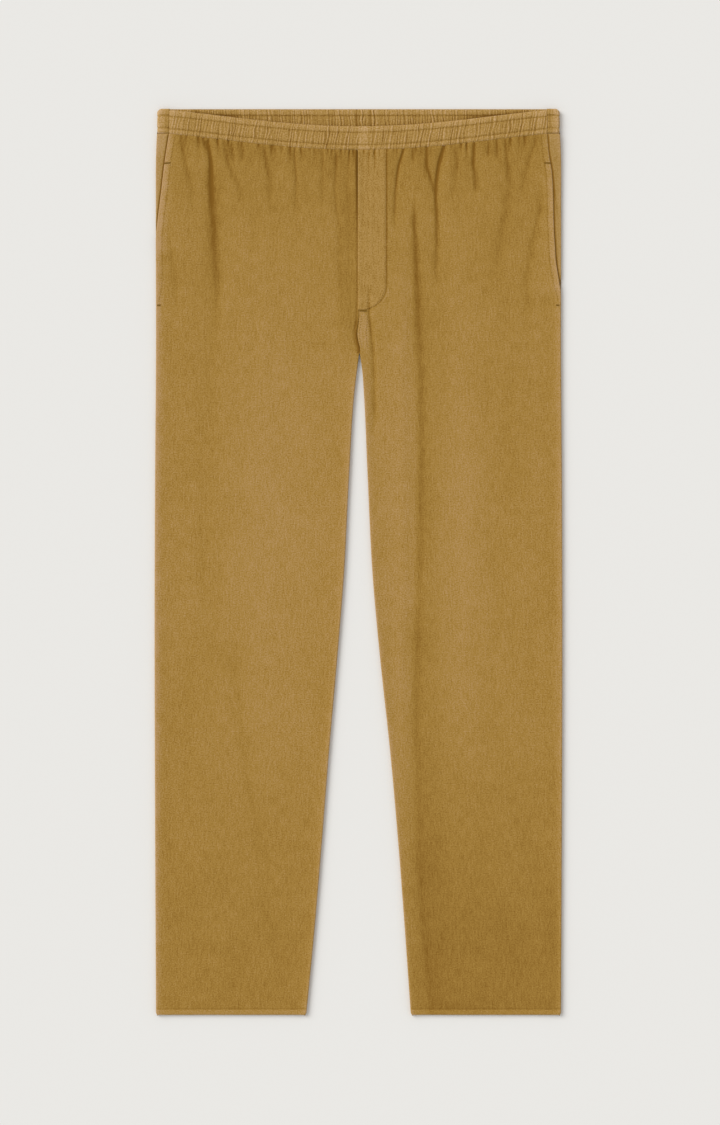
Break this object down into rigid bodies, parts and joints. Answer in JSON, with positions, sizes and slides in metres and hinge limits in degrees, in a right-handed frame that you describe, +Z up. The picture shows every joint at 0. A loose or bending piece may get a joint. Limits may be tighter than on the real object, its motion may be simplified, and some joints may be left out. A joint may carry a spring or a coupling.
{
  "type": "mens pull-on trousers",
  "caption": "Straight pull-on trousers in garment-dyed cotton twill, laid flat, with an elasticated waist, stitched fly and slanted side pockets.",
  "frame": {"origin": "bottom centre of the box round the garment as it lies flat", "axes": "+X towards the wearer's left, +Y towards the waist, +Z up, away from the surface it lies on"},
  "size_m": [0.4598, 1.02, 0.0066],
  "materials": {
    "cotton_twill": "matte",
    "waistband_twill": "matte",
    "pocket_facing_twill": "matte",
    "sewing_thread": "matte"
  },
  "bodies": {
    "root": {"front_right_leg": "cotton_twill", "front_left_leg": "cotton_twill", "back_right_leg": "cotton_twill", "back_left_leg": "cotton_twill", "fly": "cotton_twill", "pocket_facing_right": "pocket_facing_twill", "pocket_facing_left": "pocket_facing_twill", "waistband_front": "waistband_twill", "waistband_back": "waistband_twill"}
  },
  "joints": []
}
